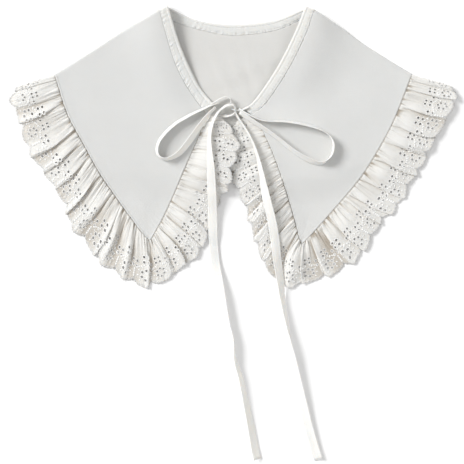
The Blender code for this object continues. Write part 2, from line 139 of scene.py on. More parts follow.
# Painted shade: the grey-brown line along the ruffle's seam, under the panel's edge
PAINTED_SEAM_SHADE = (0.36, 0.34, 0.31, 1.0)
EDGE_TINT = (0.93, 0.92, 0.90, 1.0)
SATIN = (0.88, 0.875, 0.86, 1.0)
SEWING_THREAD = (0.90, 0.90, 0.885, 1.0)
THREAD_SHINE = (0.97, 0.965, 0.95, 1.0)
TABLE_WHITE = (0.98, 0.98, 0.98, 1.0)
WHITE = (1.0, 1.0, 1.0, 1.0)

# Plan lines of the pieces, with x and y in mm
NECK_LEFT = ((-72.6, 68.4), (-60, 27.5), (-41, -14.5), (-23.5, -37))
BINDING_LINE_LEFT = ((-81.6, 63.8), (-67, 13), (-52.5, -17.5), (-29.5, -50.5))
NECK_RIGHT = ((77, 67), (65.5, 39), (47.5, 3.5), (23, -32.5), (10, -42.5))
BINDING_LINE_RIGHT = ((86.5, 63.5), (76.5, 36), (58, -1), (34, -36.5), (18.5, -49.5))
NECK_BACK = ((-72.6, 68.4), (-40, 54), (-0.5, 49.5), (43, 54), (77, 67))
BINDING_LINE_BACK = (
    (-81.6, 63.8), (-66.5, 53.5), (-33.5, 43), (-0.5, 38), (43, 43), (71, 54.5), (86.5, 63.5),
)
SHOULDER_LEFT = ((-81.6, 63.8), (-128, 37.5), (-154, 20.5), (-197, -7))
SHOULDER_RIGHT = ((86.5, 63.5), (111, 47.5), (148.5, 22), (194, -7))
SEAM_LEFT = (
    (-197, -7), (-183.5, -48.5), (-165.5, -82.5), (-147, -115.5), (-113.5, -163.5),
    (-99, -182.5), (-93.5, -186.5), (-89, -182), (-73, -151), (-48.5, -94), (-29.5, -50.5),
)
SEAM_RIGHT = (
    (194, -7), (176, -53), (159.5, -85), (137, -120.5), (103, -160.5), (80, -186),
    (74.5, -190.5), (71, -185.5), (62.5, -153.5), (45, -99), (28, -61.5), (18.5, -49.5),
)
SEAM_TIP = 6

# Folds: where they start along the seam, where they end, and how they lie
FOLDS_LEFT = (
    # start, edge x, edge y, lean, loft, lift
    (0, -240, -20.5, 0, 0.45, 0), (0.035, -246, -33, 5, 0.7, 0),
    (0.085, -237, -56, 8.5, 0.8, 0), (0.135, -231.5, -79, 8, 0.8, 0),
    (0.195, -217, -105.5, 5, 1, 0), (0.25, -200.5, -127.5, 8, 1, 0),
    (0.305, -187.5, -149.5, 9, 1, 0), (0.36, -180, -171.5, 6, 1, 0),
    (0.41, -164.5, -190.5, 8, 1, 0), (0.46, -148, -212, 9.5, 1, 0),
    (0.505, -125, -227.5, 4, 1, 0), (0.55, -102, -238.5, 7, 1, 0),
    (0.585, -78.5, -233.5, 8.5, 1, 0), (0.62, -61, -221, 9.5, 1, 0),
    (0.66, -41, -205.5, 5, 1, 0), (0.7, -30, -187, 8, 1, 0), (0.745, -21.5, -159.5, 6, 0.9, 0),
    (0.79, -11.5, -139.5, 5, 0.7, 2.6), (0.83, -3, -127.5, 3, 0.5, 4.8),
    (0.87, -0.5, -106.5, 6, 0.45, 5), (0.91, 6.5, -86, 6, 0.45, 5),
    (0.955, -2.5, -64, 5, 0.4, 5), (1, -14, -52.5, 0, 0.35, 4),
)
FOLDS_RIGHT = (
    # start, edge x, edge y, lean, loft, lift
    (0, 239, -19.5, 0, 0.45, 0), (0.03, 245, -28.5, 4, 0.7, 0),
    (0.075, 239.5, -45.5, 6, 0.8, 0), (0.13, 227, -67, 8.5, 0.8, 0),
    (0.18, 216.5, -85.5, 7, 0.9, 0), (0.24, 206.5, -108, 8, 1, 0),
    (0.295, 194, -125.5, 6, 1, 0), (0.355, 182, -149.5, 9, 1, 0), (0.41, 163.5, -167, 7, 1, 0),
    (0.455, 151, -187, 8, 1, 0), (0.5, 136, -207, 9.5, 1, 0), (0.545, 111.5, -223.5, 5, 1, 0),
    (0.58, 85, -233, 7, 1, 0), (0.61, 58, -237.5, 8, 1, 0), (0.65, 36, -221, 9, 1, 0),
    (0.7, 25, -198, 6, 1, 0), (0.745, 18, -174, 8, 1, 0), (0.79, 11.5, -153, 6, 0.8, 0),
    (0.835, 1.5, -133, 5, 0.45, 0), (0.88, -6, -110, 3, 0.35, 0), (0.92, -10, -88, 3, 0.3, 0),
    (0.96, -7, -69, 3, 0.3, 0), (1, 3, -56, 0, 0.25, 0),
)

# Ties: the turn is in degrees from flat, and the rest in mm
LOOP_LEFT = (
    # x, y, turn, width
    (-17, -36.8, 84, 4.4), (-24.9, -39.1, 74, 5.4), (-35.3, -43.8, 68, 6.4),
    (-45.7, -48.6, 65, 7.2), (-54.8, -53.6, 64, 7.6), (-63.8, -58.9, 64, 7.8),
    (-74.6, -68.5, 65, 8), (-82.7, -79.1, 67, 8.6), (-85, -89.4, 72, 9.2),
    (-81.6, -96.2, 78, 9.8), (-73.4, -98.3, 73, 9.8), (-61.2, -92.2, 60, 9.8),
    (-50.4, -79.6, 52, 9.4), (-39.8, -64.6, 52, 8.4), (-29.4, -50.6, 56, 6.8),
    (-20.6, -41.4, 64, 5),
)
LOOP_RIGHT = (
    # x, y, turn, width
    (4.5, -43.6, 50, 5), (13, -49.2, 66, 7), (31, -56.3, 90, 9), (58, -57.2, 104, 9.8),
    (83.2, -62, 106, 9.8), (101, -69.7, 96, 9.8), (108.4, -81, 84, 9.8), (106, -94.6, 84, 9.8),
    (97, -102.6, 104, 9.8), (85, -101, 118, 9.8), (66, -90.5, 114, 9.8), (44, -73, 110, 9),
    (27, -61.5, 118, 8), (14, -53, 130, 6.5), (5.5, -47, 138, 5),
)
TAIL_LEFT = (
    # x, y, turn, width
    (-10.4, -40.6, 58, 4), (-16.6, -45.6, 57, 4), (-21.4, -53, 55, 4.4), (-24.9, -62, 52, 5),
    (-27.3, -74, 46, 5.5), (-27, -90, 35, 7), (-25.8, -110, 16, 9), (-24.6, -137.5, 10, 9.8),
    (-23.7, -165, 8, 9.8), (-23.3, -187, 6, 9.8), (-20.8, -212.5, 8, 9.8),
    (-16.8, -232, 30, 9.8), (-12.6, -249.5, 56, 9.8), (-7, -278, 68, 9.8),
    (-1.6, -297, 80, 9.8), (1.5, -320, 108, 9.8), (7, -338, 119, 9.8), (12.5, -363, 130, 9.8),
    (17.6, -388, 140, 9.8), (22.5, -415, 147, 9.8), (25.5, -428, 150, 9.8),
)
TAIL_RIGHT = (
    # x, y, turn, width
    (0, -46.5, 62, 4), (6.3, -56.6, 66, 4.4), (15, -69.8, 68, 4.8), (21.4, -83.4, 67, 5.4),
    (25.6, -96.6, 62, 6.4), (29.6, -114, 52, 8), (34, -137, 32, 9.8), (41, -166, 16, 9.8),
    (44.5, -187, -2, 9.8), (46.5, -206, -16, 9.8), (49.5, -227, -34, 9.8), (53, -253, -56, 9.8),
    (57, -275, -68, 9.8), (60.5, -293, -84, 9.8), (64.3, -314, -116, 9.8),
    (68.5, -335, -132, 9.8), (74.5, -362, -144, 9.8), (80, -386, -154, 9.8),
    (87, -412, -160, 9.8), (92, -428, -160, 9.8),
)
KNOT_ARCH = (
    # x, y, z, turn, width
    (-14.4, -43.4, 6.4, -62, 4.4), (-9.8, -40.2, 7.4, -60, 4.8), (-5.4, -38.8, 8, -58, 4.8),
    (-1.6, -39, 7.8, -62, 4.4), (0.6, -41.6, 7, -70, 4.2), (1.2, -45.4, 5.8, -76, 4),
    (0.5, -48.8, 4.6, -80, 4),
)
KNOT_UNDER = (
    # x, y, z, turn, width
    (-17.4, -50.2, 4.4, -82, 3.4), (-14.6, -50.9, 4.8, -66, 4.4), (-10.8, -51, 5.2, -48, 4.8),
    (-6.6, -50.8, 5.2, -58, 4.4), (-2.6, -49.6, 5.2, -74, 4.2), (0.4, -47, 5.4, -86, 4),
    (1.3, -43.6, 5.6, -94, 4),
)
KNOT_CURL = (
    # x, y, z, turn, width
    (-26, -38, 4.8, -78, 4.2), (-20.8, -35.2, 5.6, -82, 4.4), (-15.8, -31.9, 6.2, -84, 4.4),
    (-9.4, -30, 6.6, -84, 4.4), (-5, -32.2, 6.6, -86, 4.2), (-4.3, -35.8, 6.2, -88, 4.2),
    (-6.2, -38.4, 5.6, -92, 4),
)
KNOT_STRAND = (
    # x, y, z, turn, width
    (-3, -43, 4.6, -66, 4.2), (2.6, -44.6, 4.6, -70, 4.4), (8.4, -44, 4.2, -70, 4.2),
    (15.6, -41, 3.9, -72, 3.6),
)

CURVE_STEPS = 24

UP = np.array((0.0, 0.0, 1.0))


# Curves and fields

def smooth_step(low, high, value):
    share = np.clip((value - low) / (high - low), 0.0, 1.0)
    return share * share * (3.0 - 2.0 * share)


def smooth_rows(table):
    """A dense, smooth run of rows through a table's own rows."""
    rows = np.array(table, float)
    padded = np.vstack([2.0 * rows[0] - rows[1], rows, 2.0 * rows[-1] - rows[-2]])
    share = np.linspace(0.0, 1.0, CURVE_STEPS, endpoint=False)[:, None]
    runs = []
    for i in range(len(rows) - 1):
        before, here, there, after = padded[i:i + 4]
        run = 2.0 * here + (there - before) * share
        run = run + (2.0 * before - 5.0 * here + 4.0 * there - after) * share ** 2
        run = run + (3.0 * here - before - 3.0 * there + after) * share ** 3
        runs.append(0.5 * run)
    return np.vstack(runs + [rows[-1:]])


def read_rows(dense, place):
    """Columns of a dense run at places counted in the table's own rows."""
    ticks = np.arange(len(dense)) / CURVE_STEPS
    return np.stack([np.interp(place, ticks, column) for column in dense.T], axis=-1)


class Curve:
    """A smooth plan curve through a short table of points, read by length."""

    def __init__(self, table):
        self.line = smooth_rows(table) * MM
        steps = np.linalg.norm(np.diff(self.line, axis=0), axis=1)
        self.lengths = np.concatenate([[0.0], np.cumsum(steps)])
        self.length = self.lengths[-1]

    def at(self, share):
        target = np.clip(share, 0.0, 1.0) * self.length
        return np.stack([np.interp(target, self.lengths, c) for c in self.line.T], axis=-1)

    def share_of(self, index):
        return self.lengths[index * CURVE_STEPS] / self.length

    def normal(self, share):
        """Plan direction to the right of the way the curve runs."""
        along = self.at(share + 0.004) - self.at(share - 0.004)
        along = along / np.linalg.norm(along, axis=-1, keepdims=True)
        return np.stack([along[..., 1], -along[..., 0]], axis=-1)


def wander(place, seed, pitch=1.0):
    """Smooth uneven values from about -1 to 1 along a line."""
    chance = np.random.default_rng(seed)
    total = np.zeros_like(place, dtype=float)
    for octave in range(4):
        turn = chance.uniform(0.0, 2.0 * math.pi)
        speed = (0.45 + 0.5 * octave + chance.uniform(-0.12, 0.12)) / pitch
        total += np.sin(2.0 * math.pi * speed * place + turn) / (1.0 + 0.4 * octave)
    return total / 2.0


def ground(point):
    """Height of what the fronts lie on: the back, its ruffle or the table."""
    across = point[..., 0] - BACK_CENTRE[0]
    below = np.minimum(0.0, point[..., 1] - BACK_CENTRE[1])
    to_hem = np.hypot(across / HEM_RADII[0], below / HEM_RADII[1])
    to_edge = np.hypot(across / BACK_EDGE_RADII[0], below / BACK_EDGE_RADII[1])
    height = OVER_PANEL + (OVER_RUFFLE - OVER_PANEL) * smooth_step(0.45, 1.0, to_hem)
    return height * (1.0 - smooth_step(1.0, 1.3, to_edge))


# Meshes

def new_object(name, data):
    item = bpy.data.objects.new(name, data)
    bpy.context.scene.collection.objects.link(item)
    return item


def mesh_from(bm, name):
    """A new mesh of what a bmesh holds, which is freed."""
    mesh = bpy.data.meshes.new(name)
    bm.to_mesh(mesh)
    bm.free()
    return mesh


def places_of(mesh):
    flat = np.empty(len(mesh.vertices) * 3)
    mesh.vertices.foreach_get("co", flat)
    return flat.reshape(-1, 3)


def set_places(mesh, places):
    mesh.vertices.foreach_set("co", np.ascontiguousarray(places, dtype=np.float32).ravel())
    mesh.update()


def set_flat_map(mesh, flat):
    """The cloth's flat place, in metres, as the mesh's UV map."""
    corners = np.empty(len(mesh.loops), dtype=np.int32)
    mesh.loops.foreach_get("vertex_index", corners)
    layer = mesh.uv_layers.new(name="flat")
    layer.data.foreach_set("uv", flat[corners].astype(np.float32).ravel())


def set_attribute(mesh, name, values):
    layer = mesh.attributes.new(name, "FLOAT", "POINT")
    layer.data.foreach_set("value", np.asarray(values, dtype=np.float32))


def grid_mesh(name, columns, rows):
    """A flat grid with x and y from 0 to 1, and those places as an array."""
    bm = bmesh.new()
    bmesh.ops.create_grid(bm, x_segments=columns, y_segments=rows, size=0.5)
    mesh = mesh_from(bm, name)
    return mesh, places_of(mesh)[:, :2] + 0.5


def turn_faces_up(mesh):
    """Faces the sheet upwards, whichever way its grid was laid."""
    mesh.update()
    total = sum(face.normal.z * face.area for face in mesh.polygons)
    if total < 0.0:
        mesh.flip_normals()


def cloth(name, mesh, wall, material, node=None):
    """A sheet of cloth with its thickness, riding on the collar."""
    turn_faces_up(mesh)
    mesh.shade_smooth()
    mesh.materials.append(material)
    item = new_object(name, mesh)
    solid = item.modifiers.new("Wall", "SOLIDIFY")
    solid.thickness = wall
    solid.offset = 0.0
    solid.use_even_offset = False
    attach(item, "root")
    if node:
        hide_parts(node)
    return item


def patch(top, bottom, start, end, u, v):
    """Plan points of a four-sided piece of cloth, blended from its sides."""
    u, v = u[:, None], v[:, None]
    zero, one = np.zeros(1), np.ones(1)
    point = top(u[:, 0]) * (1.0 - v) + bottom(u[:, 0]) * v
    point = point + start(v[:, 0]) * (1.0 - u) + end(v[:, 0]) * u
    point = point - top(zero) * (1.0 - u) * (1.0 - v) - top(one) * u * (1.0 - v)
    return point - bottom(zero) * (1.0 - u) * v - bottom(one) * u * v


def roll_under(plan, z, away, low, turned):
    """Places, with those past a fold, turned from 0 to 1, carried to the layer below."""
    angle = math.pi * (1.0 - turned)
    radius = (z - low) / 2.0
    reach = np.minimum(radius, FOLD_REACH) * np.sin(angle)
    return np.column_stack([plan + away * reach[:, None], z - radius * (1.0 + np.cos(angle))])


# Shader wiring

class Wire:
    """A shader value that takes part in Python arithmetic."""

    def __init__(self, board, socket):
        self.board = board
        self.socket = socket

    def _with(self, operation, *values):
        return self.board.add("ShaderNodeMath", {"operation": operation}, values)

    def __add__(self, other):
        return self._with("ADD", self, other)

    def __radd__(self, other):
        return self._with("ADD", other, self)

    def __mul__(self, other):
        return self._with("MULTIPLY", self, other)

    def __rmul__(self, other):
        return self._with("MULTIPLY", other, self)

    def sine(self):
        return self._with("SINE", self)

    def size(self):
        return self._with("ABSOLUTE", self)


class Board:
    """One material's node tree, filled by expressions."""

    def __init__(self, name):
        self.material = bpy.data.materials.new(name)
        self.material.use_nodes = True
        self.tree = self.material.node_tree
        self.shader = self.tree.nodes["Principled BSDF"]

    def add(self, kind, settings=None, values=(), output=0):
        """Adds a node: its settings first, then the values or links of its sockets."""
        node = self.tree.nodes.new(kind)
        for key, value in (settings or {}).items():
            setattr(node, key, value)
        pairs = values.items() if isinstance(values, dict) else enumerate(values)
        for key, value in pairs:
            self.link(value, node.inputs[key])
        return Wire(self, node.outputs[output])

    def mix(self, share, first, second):
        node = self.tree.nodes.new("ShaderNodeMix")
        node.data_type = "RGBA"
        for place, value in ((0, share), (6, first), (7, second)):
            self.link(value, node.inputs[place])
        return Wire(self, node.outputs[2])

    def noise(self, vector, scale, detail=3.0):
        return self.add(
            "ShaderNodeTexNoise",
            {"noise_dimensions": "3D"},
            {"Vector": vector, "Scale": scale, "Detail": detail, "Roughness": 0.55},
        )

    def finish(
        self, colour, height=None, depth=0.0, roughness=0.85, sheen=0.15, translucent=0.0
    ):
        """Sets the shader: a soft matt cloth, with light through it if it is translucent."""
        shader = self.shader.inputs
        self.link(colour, shader["Base Color"])
        shader["Roughness"].default_value = roughness
        shader["Sheen Weight"].default_value = sheen
        shader["Sheen Roughness"].default_value = 0.5
        shader["Specular IOR Level"].default_value = 0.25
        if translucent:
            shader["Subsurface Weight"].default_value = translucent
            shader["Subsurface Radius"].default_value = (1.0, 0.92, 0.84)
            shader["Subsurface Scale"].default_value = 1.2 * MM
        if height is not None:
            bump = self.add(
                "ShaderNodeBump", {}, {"Strength": 1.0, "Distance": depth, "Height": height}
            )
            self.link(bump, shader["Normal"])
        return self.material

    def link(self, value, socket):
        if isinstance(value, Wire):
            self.tree.links.new(value.socket, socket)
        else:
            socket.default_value = value


def weave(board, turned):
    """Height of a plain weave, with the cloth's flat place whole and in parts."""
    flat = board.add("ShaderNodeUVMap", {"uv_map": "flat"})
    turned_flat = board.add(
        "ShaderNodeMapping", {}, {"Vector": flat, "Rotation": (0.0, 0.0, turned)}
    )
    parts = board.tree.nodes.new("ShaderNodeSeparateXYZ")
    board.tree.links.new(turned_flat.socket, parts.inputs[0])
    along, across = Wire(board, parts.outputs[0]), Wire(board, parts.outputs[1])
    speed = 2.0 * math.pi / WEAVE_PITCH
    warp = (along * speed).sine()
    weft = (across * speed).sine()
    return warp * weft * 0.5 + (warp.size() + weft.size()) * 0.25, flat, along, across


def lawn_finish(name, tones, turned=0.0, gathered=False, translucent=0.5):
    """Cotton: weave, slubs and unevenness, and for a ruffle painted warm shade in its folds and
    beside its seam, and its edge.
    """
    board = Board(name)
    threads, flat, along, across = weave(board, turned)
    slubs = board.noise(
        board.add("ShaderNodeMapping", {}, {"Vector": flat, "Scale": (60.0, 900.0, 1.0)}), 1.0
    )
    cloudy = board.noise(flat, 38.0, 2.0)
    tone = board.mix(cloudy * 0.5 + slubs * 0.3, *tones)
    height = threads * 0.6 + slubs * 0.8 + cloudy * 0.5
    if gathered:
        # Painted warm shade in the ruffle's folds, read from the fold attribute
        deep = board.add("ShaderNodeAttribute", {"attribute_name": "fold"}, output=2)
        tone = board.mix(deep, tone, PAINTED_FOLD_SHADE)
        # Painted shade along the seam, fading out between 1.6 and 2.5 mm from it
        from_seam = [across, 1.6 * MM, 2.5 * MM, 0.7, 0.0]
        tone = board.mix(board.add("ShaderNodeMapRange", {}, from_seam), tone, PAINTED_SEAM_SHADE)
        rim = board.add("ShaderNodeAttribute", {"attribute_name": "edge"}, output=2)
        ribs = (along * (2.0 * math.pi / RIB_PITCH)).sine()
        height = height + rim * (ribs + 1.0) * 2.0
        tone = board.mix(rim * 0.5, tone, EDGE_TINT)
    return board.finish(tone, height, 0.08 * MM, translucent=translucent)


def thread_finish(name, colour):
    """Cotton thread of the embroidery and the stitching."""
    board = Board(name)
    place = board.add("ShaderNodeTexCoord", output=3)
    grain = board.noise(place, 2600.0, 2.0)
    tone = board.mix(grain, colour, THREAD_SHINE)
    return board.finish(tone, grain, 0.05 * MM, roughness=0.6, sheen=0.3)


# The eyelet edging

def scallop_edge(across):
    """Depth of the strip's free edge at places across it."""
    place = across / REPEAT
    offset = (place - np.round(place)) * 2.0
    arc = np.sqrt(np.maximum(0.0, 1.0 - (offset / 1.04) ** 2))
    picots = np.abs(np.sin(math.pi * PICOTS * (place + 0.5)))
    return STRIP_DEPTH - SCALLOP_RISE * (1.0 - arc) - PICOT_RISE * (1.0 - picots)


def eyelets_of_repeat():
    """Centres of one repeat's eyelets about its flower, in the flat strip."""
    holes = []
    for k in range(6):
        angle = math.pi * (k / 3.0 + 1.0 / 6.0)
        holes.append(
            (FLOWER_RADIUS * math.cos(angle), FLOWER_HEIGHT + FLOWER_RADIUS * math.sin(angle))
        )
    for centre, height in ((0.0, CLUSTER_HEIGHT), (-REPEAT / 2.0, HALF_CLUSTER_HEIGHT)):
        for dx in (-CLUSTER_SPREAD, CLUSTER_SPREAD):
            for dy in (-CLUSTER_SPREAD, CLUSTER_SPREAD):
                holes.append((centre + dx, height + dy))
    return holes


def lace_tile(columns, plain_rows, lace_rows):
    """One repeat of the flat edging, with its eyelets cut out."""
    left = -REPEAT * 0.73
    mesh, spots = grid_mesh("repeat", columns, plain_rows + lace_rows)
    turn = plain_rows / (plain_rows + lace_rows)
    across = left + spots[:, 0] * REPEAT
    lace_start = CLUSTER_HEIGHT - CLUSTER_SPREAD - 2.0 * EYELET_RADIUS
    plain = np.minimum(spots[:, 1] / turn, 1.0)
    lace = np.clip((spots[:, 1] - turn) / (1.0 - turn), 0.0, 1.0)
    deep = plain * lace_start + lace * (STRIP_DEPTH - lace_start)
    bend = smooth_step(FLOWER_HEIGHT - 2.0 * MM, STRIP_DEPTH, deep)
    deep = deep - bend * (STRIP_DEPTH - scallop_edge(across))
    set_places(mesh, np.stack([across, deep, np.zeros_like(deep)], axis=1))
    bm = bmesh.new()
    bm.from_mesh(mesh)
    for x, y in eyelets_of_repeat():
        centre = Vector((x, y, 0.0))
        inside = [
            face
            for face in bm.faces
            if (face.calc_center_median() - centre).length < EYELET_RADIUS * 0.95
        ]
        rim = {vert for face in inside for vert in face.verts}
        bmesh.ops.delete(bm, geom=inside, context="FACES")
        for vert in rim:
            if vert.is_valid and (vert.co - centre).length > 0.0:
                vert.co = centre + (vert.co - centre).normalized() * EYELET_RADIUS
    bm.to_mesh(mesh)
    bm.free()
    return mesh


def lace_strip(name, tile, start, end):
    """The flat edging between two places, from copies of its repeat side by side."""
    bm = bmesh.new()
    for k in range(math.floor(start / REPEAT), math.ceil(end / REPEAT) + 1):
        first = len(bm.verts)
        bm.from_mesh(tile)
        bm.verts.ensure_lookup_table()
        bmesh.ops.translate(bm, verts=bm.verts[first:], vec=(k * REPEAT, 0.0, 0.0))
    bmesh.ops.remove_doubles(bm, verts=bm.verts[:], dist=0.02 * MM)
    for place, outward in ((start, -1.0), (end, 1.0)):
        bmesh.ops.bisect_plane(
            bm, geom=bm.verts[:] + bm.edges[:] + bm.faces[:], dist=0.001 * MM,
            plane_co=(place, 0.0, 0.0), plane_no=(outward, 0.0, 0.0), clear_outer=True,
        )
    return mesh_from(bm, name)


def fold_lean(turn):
    """How far along a fold's cloth is carried: slowly up its top, quickly back under."""
    place = turn - np.floor(turn + 0.5)
    rise, fall = (place + 0.5) / RISE_SHARE, (0.5 - place) / FALL_SHARE
    sharp = 14.0
    least = -np.log(np.exp(-sharp * rise) + np.exp(-sharp * fall)) / sharp
    return least + math.log(2.0) / sharp * np.exp(-sharp * np.minimum(rise, fall) * 0.5)


class Ruffle:
    """The gathered strip of one front: flat places in, places on the collar out."""

    def __init__(self, seam, side, table, seed):
        self.seam = seam
        self.side = side
        self.rows = smooth_rows(table)
        self.folds = len(table) - 1
        self.start = -SHOULDER_ROLL
        self.end = self.folds * FLAT_PER_FOLD
        self.seed = seed
        chance = np.random.default_rng(seed + 20).uniform(0.0, 1.0, self.folds + 2)
        self.openness = smooth_step(0.45, 0.8, chance)

    def shape(self, across, deep):
        folds = np.clip(across / FLAT_PER_FOLD, 0.0, self.folds)
        depth = deep / STRIP_DEPTH
        columns = read_rows(self.rows, folds)
        step = 0.2
        before = np.maximum(folds - step, 0.0)
        after = np.minimum(folds + step, float(self.folds))
        next_rows, last_rows = read_rows(self.rows, after), read_rows(self.rows, before)
        run = (next_rows[:, 1:3] - last_rows[:, 1:3]) * MM
        root_run = self.seam.at(next_rows[:, 0]) - self.seam.at(last_rows[:, 0])
        span = after - before
        run_length = np.linalg.norm(run, axis=1)
        pitch = run_length * depth + np.linalg.norm(root_run, axis=1) * (1.0 - depth)
        pitch = pitch / span
        root = self.seam.at(columns[:, 0])
        root = root - self.seam.normal(columns[:, 0]) * self.side * SEAM_TUCK
        edge = columns[:, 1:3] * MM
        loft = columns[:, 4]

        # Pressed folds: broad tops that lie over onto the next fold
        ends = smooth_step(0.0, 0.6, folds) * smooth_step(0.0, 0.6, self.folds - folds)
        sway = wander(folds, self.seed, 2.3) * FOLD_SWAY
        sway = sway + wander(folds, self.seed + 1, 1.7) * ROOT_SWAY * (1.0 - depth)
        turn = folds + sway * ends
        laid_over = fold_lean(turn)
        lobe = np.clip(np.round(turn), 0, self.folds).astype(int)
        corner = np.exp(-(((turn - np.floor(turn + 0.5) - 0.16) / 0.16) ** 2))
        corner = corner * smooth_step(0.55, 1.0, depth) * ends * loft
        corner = corner * (0.5 + 0.6 * self.openness[lobe])
        turn = turn - 0.2 * (1.0 + np.cos(2.0 * math.pi * turn)) / 2.0
        valley = np.clip(np.floor(turn), 0, self.folds).astype(int)
        gap = self.openness[valley] * smooth_step(0.15, 0.9, depth)
        crest = ((1.0 + np.cos(2.0 * math.pi * turn)) / 2.0) ** (0.28 + 1.15 * gap)
        pressed = 0.5 * smooth_step(0.15, 0.5, depth)
        top = crest * (1.0 - pressed) + (0.2 + 0.8 * laid_over) * pressed
        slack = np.maximum(FLAT_PER_FOLD / pitch - 1.0, 0.05)
        height = np.minimum(2.0 * pitch / math.pi * np.sqrt(slack), FOLD_HEIGHT_LIMIT)
        height = height * loft * (0.8 + 0.32 * wander(folds, self.seed + 2, 1.9))
        height = height * (0.12 + 0.88 * smooth_step(0.0, 0.45, depth))
        height = height * (1.0 - 0.5 * smooth_step(0.6, 1.0, depth))
        lean = columns[:, 3] * MM * 1.12 * (1.0 - np.exp(-2.2 * np.maximum(depth, 0.0)))
        lean = lean * (1.0 - 0.3 * smooth_step(0.6, 1.0, depth))
        lean = lean * (1.0 - 0.5 * self.openness[lobe] * smooth_step(0.3, 1.0, depth))
        lean = lean * (1.0 + 0.35 * wander(folds, self.seed + 3, 1.3))

        # Gathers: puffs with narrow creases between them, some longer than others
        gathers = folds * GATHERS_PER_FOLD + 0.9 * wander(folds, self.seed + 4, 0.8)
        longer = 0.09 + 0.24 * (0.5 + 0.5 * wander(folds, self.seed + 5, 0.37)) ** 2
        longer = longer * (0.55 + 0.45 * loft)
        tight = np.exp(-((depth / longer) ** 1.5)) * smooth_step(0.01, 0.05, depth)
        tight = tight * (0.75 + 0.45 * wander(folds, self.seed + 8, 0.3))
        puff = 1.0 - np.exp(-((np.sin(math.pi * gathers) / 0.4) ** 2))
        puff_side = np.sin(2.0 * math.pi * gathers)
        creases = 0.8 * wander(folds, self.seed + 6, 0.8) * (1.0 - 0.5 * depth)
        creases = folds * CREASES_PER_FOLD + creases
        middle = np.exp(-(((depth - 0.24) / 0.24) ** 2)) * smooth_step(0.01, 0.08, depth)
        middle = middle * (0.6 + 0.5 * wander(folds, self.seed + 9, 0.45))
        middle = middle * (0.2 + 0.8 * loft)
        crease = 1.0 - np.exp(-((np.sin(math.pi * creases) / 0.28) ** 2))
        flutter = wander(folds, self.seed + 7, 0.33) * smooth_step(0.55, 1.0, depth)

        point = root + (edge - root) * (depth + LOBE_CORNER * corner)[:, None]
        along = run / run_length[:, None]
        gathered = GATHER_SHIFT * puff_side * tight + GATHER_SHIFT * crease * middle
        shift = lean * laid_over - gathered * ends
        lift = np.maximum(columns[:, 5], 0.0) * MM * smooth_step(0.05, 0.45, depth)
        z = ground(point) + OVER_GROUND + lift + height * top
        gathered = GATHER_RISE * puff * tight + CREASE_RISE * crease * middle
        z = z + gathered * (0.5 + 0.5 * loft)
        z = z + EDGE_RISE * (1.0 + flutter) * smooth_step(0.5, 1.0, depth)

        # Carried under at the shoulder, to meet the back's ruffle
        point = point + along * shift[:, None]
        turned = np.clip(-across / SHOULDER_ROLL, 0.0, 1.0)
        places = roll_under(point, z, -along, BACK_RUFFLE_LEVEL, turned)

        # Painted shade, kept in the fold attribute: warm darkening of the folds' hollows and
        # the gathers' creases
        painted_shade = (1.0 - crest) ** 2.4 * smooth_step(0.02, 0.12, depth) * (1.0 - 0.2 * gap)
        painted_shade = painted_shade * (1.0 - (0.8 - 0.7 * gap) * smooth_step(0.6, 1.0, depth)) * loft
        painted_shade = painted_shade + 1.0 * (1.0 - puff) * tight + 0.4 * (1.0 - crease) * middle
        # Painted seam shade: dark dots where the gathers' creases meet the seam, and a soft
        # line beside the panel's edge
        painted_seam_shade = 1.8 * (1.0 - puff) * (1.0 - smooth_step(0.05, 0.11, depth))
        painted_seam_shade = painted_seam_shade + 0.8 * (1.0 - smooth_step(0.0, 0.045, depth))
        return places, np.clip(0.8 * (painted_shade + painted_seam_shade), 0.0, 1.0)

    def seats(self, across, deep):
        """Place and three directions on the cloth at each flat place."""
        step = 0.25 * MM
        here = self.shape(across, deep)[0]
        along = self.shape(across + step, deep)[0] - self.shape(across - step, deep)[0]
        inward = self.shape(across, deep + step)[0] - self.shape(across, deep - step)[0]
        along = along / (2.0 * step)
        inward = inward / (2.0 * step)
        out = np.cross(along, inward)
        out = out / np.maximum(np.linalg.norm(out, axis=1, keepdims=True), 1e-9)
        return here, along, inward, out


def edging(name, ruffle, tile, material):
    """The ruffle's cloth with its eyelets and scalloped edge."""
    mesh = lace_strip(name, tile, ruffle.start, ruffle.end)
    flat = places_of(mesh)
    across, deep = flat[:, 0], flat[:, 1]
    places, painted_shade = ruffle.shape(across, deep)
    set_places(mesh, places)
    set_flat_map(mesh, flat[:, :2])
    # The fold attribute holds painted shade, in the folds and beside the seam
    set_attribute(mesh, "fold", painted_shade)
    left = scallop_edge(across) - deep
    set_attribute(mesh, "edge", 1.0 - smooth_step(0.5 * EDGE_BAND, EDGE_BAND, left))
    return cloth(name, mesh, LAWN, material, node=name)


def small_shape(kind):
    """A stitch in a box of side 2 about its seat: a ring round an eyelet or a leaf."""
    bm = bmesh.new()
    if kind == "ring":
        bmesh.ops.create_circle(bm, segments=5, radius=0.33, cap_ends=False)
        upright = Matrix.Rotation(math.pi / 2.0, 3, "X")
        bmesh.ops.rotate(bm, verts=bm.verts[:], cent=(0.0, 0.0, 0.0), matrix=upright)
        bmesh.ops.translate(bm, verts=bm.verts[:], vec=(1.27, 0.0, 0.0))
        bmesh.ops.spin(
            bm, geom=bm.verts[:] + bm.edges[:], cent=(0.0, 0.0, 0.0), axis=UP,
            angle=2.0 * math.pi, steps=10, use_merge=True, use_duplicate=False,
        )
        bmesh.ops.remove_doubles(bm, verts=bm.verts[:], dist=0.01)
    else:
        bmesh.ops.create_icosphere(bm, subdivisions=1, radius=1.0)
    bmesh.ops.recalc_face_normals(bm, faces=bm.faces[:])
    return mesh_from(bm, kind)


